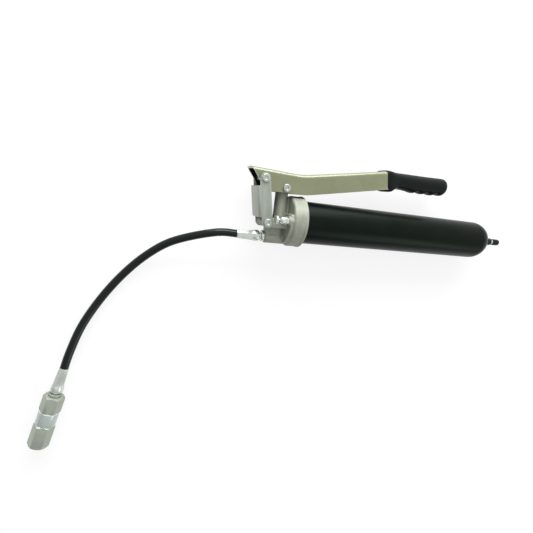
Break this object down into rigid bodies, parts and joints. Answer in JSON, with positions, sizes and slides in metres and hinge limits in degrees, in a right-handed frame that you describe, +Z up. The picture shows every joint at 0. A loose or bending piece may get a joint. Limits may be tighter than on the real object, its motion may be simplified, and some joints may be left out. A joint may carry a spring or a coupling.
{
  "type": "grease gun",
  "caption": "Lever-operated grease gun: black barrel with a domed end, cast head, linked hand lever, spring follower and a flexible hose with a jaw coupler.",
  "frame": {"origin": "middle of the underside of the box of the gun with its first ferrule, without the free hose and coupler, lying on its side on the floor", "axes": "+X along the barrel to the rear, +Y from the barrel to the lever, +Z up out of the floor"},
  "size_m": [0.6855, 0.4085, 0.0681],
  "materials": {
    "cast_aluminium": "as cast, satin",
    "black_paint": "satin black enamel",
    "lever_paint": "pearl beige metallic",
    "zinc_steel": "bright zinc plate",
    "dark_steel": "ground steel",
    "spring_steel": "drawn wire",
    "ball_steel": "polished",
    "grip_rubber": "matte moulded",
    "hose_rubber": "smooth glossy cover",
    "seal_rubber": "matte",
    "black_plastic": "moulded"
  },
  "bodies": {
    "head": {"pump_head": "cast_aluminium", "head_gasket": "seal_rubber", "barrel": "black_paint", "rod_gland": "black_plastic", "plunger_seal": "seal_rubber", "seal_washer": "zinc_steel", "check_spring": "spring_steel", "outlet_fitting": "zinc_steel", "bleed_body": "zinc_steel", "bleed_spring": "spring_steel", "follower_spring": "spring_steel", "ferrule_head": "zinc_steel", "hose": "hose_rubber", "ferrule_coupler": "zinc_steel", "coupler_stem": "zinc_steel", "coupler_body": "zinc_steel", "coupler_nose": "zinc_steel", "coupler_jaws": "dark_steel", "coupler_seal": "seal_rubber", "coupler_spring": "spring_steel"},
    "link": {"fulcrum_link": "zinc_steel", "link_pin_lower": "zinc_steel", "link_pin_upper": "zinc_steel"},
    "lever": {"lever": "lever_paint", "grip": "grip_rubber", "plunger_pin": "zinc_steel"},
    "plunger": {"plunger": "dark_steel"},
    "bleed_button": {"bleed_button": "zinc_steel"},
    "rod": {"follower_rod": "zinc_steel", "rod_knob": "black_plastic"},
    "follower": {"follower_cup": "seal_rubber", "follower_front_plate": "zinc_steel", "follower_rear_plate": "zinc_steel"},
    "check_ball": {"check_ball": "ball_steel"},
    "coupler_ball": {"coupler_ball": "ball_steel"}
  },
  "joints": [
    {"name": "link_swing", "type": "hinge", "parent": "head", "child": "link", "pos_m": [-0.18999, -0.03053, 0.03491], "axis": [0.0183, 0, 0.9998], "range_deg": [-3.08, 0]},
    {"name": "lever_swing", "type": "hinge", "parent": "link", "child": "lever", "pos_m": [-0.19899, 0.02447, 0.03508], "axis": [0.0183, 0, 0.9998], "range_deg": [0, 50]},
    {"name": "plunger_stroke", "type": "slide", "parent": "head", "child": "plunger", "axis": [0, 1, 0], "range_m": [0, 0.02524]},
    {"name": "bleed_press", "type": "slide", "parent": "head", "child": "bleed_button", "axis": [0.9998, 0, -0.0183], "range_m": [0, 0.0018], "stiffness_N_per_m": 400, "springref_m": -0.003, "deforming": ["bleed_spring"]},
    {"name": "rod_pull", "type": "slide", "parent": "head", "child": "rod", "axis": [0.9998, 0, -0.0183], "range_m": [0, 0.22]},
    {"name": "follower_travel", "type": "slide", "parent": "head", "child": "follower", "axis": [0.9998, 0, -0.0183], "range_m": [0, 0.2], "stiffness_N_per_m": 120, "springref_m": -0.25, "deforming": ["follower_spring"]},
    {"name": "check_lift", "type": "slide", "parent": "head", "child": "check_ball", "axis": [-0.9998, 0, 0.0183], "range_m": [0, 0.0015], "stiffness_N_per_m": 300, "springref_m": -0.002, "deforming": ["check_spring"]},
    {"name": "coupler_lift", "type": "slide", "parent": "head", "child": "coupler_ball", "axis": [-0.2588, -0.9659, 0], "range_m": [0, 0.0015], "stiffness_N_per_m": 300, "springref_m": -0.002, "deforming": ["coupler_spring"]}
  ],
  "couplings": [
    {"joint": "link_swing", "follows": "lever_swing", "ratio": -0.0616},
    {"joint": "plunger_stroke", "follows": "lever_swing", "m_per_rad": 0.028925}
  ]
}
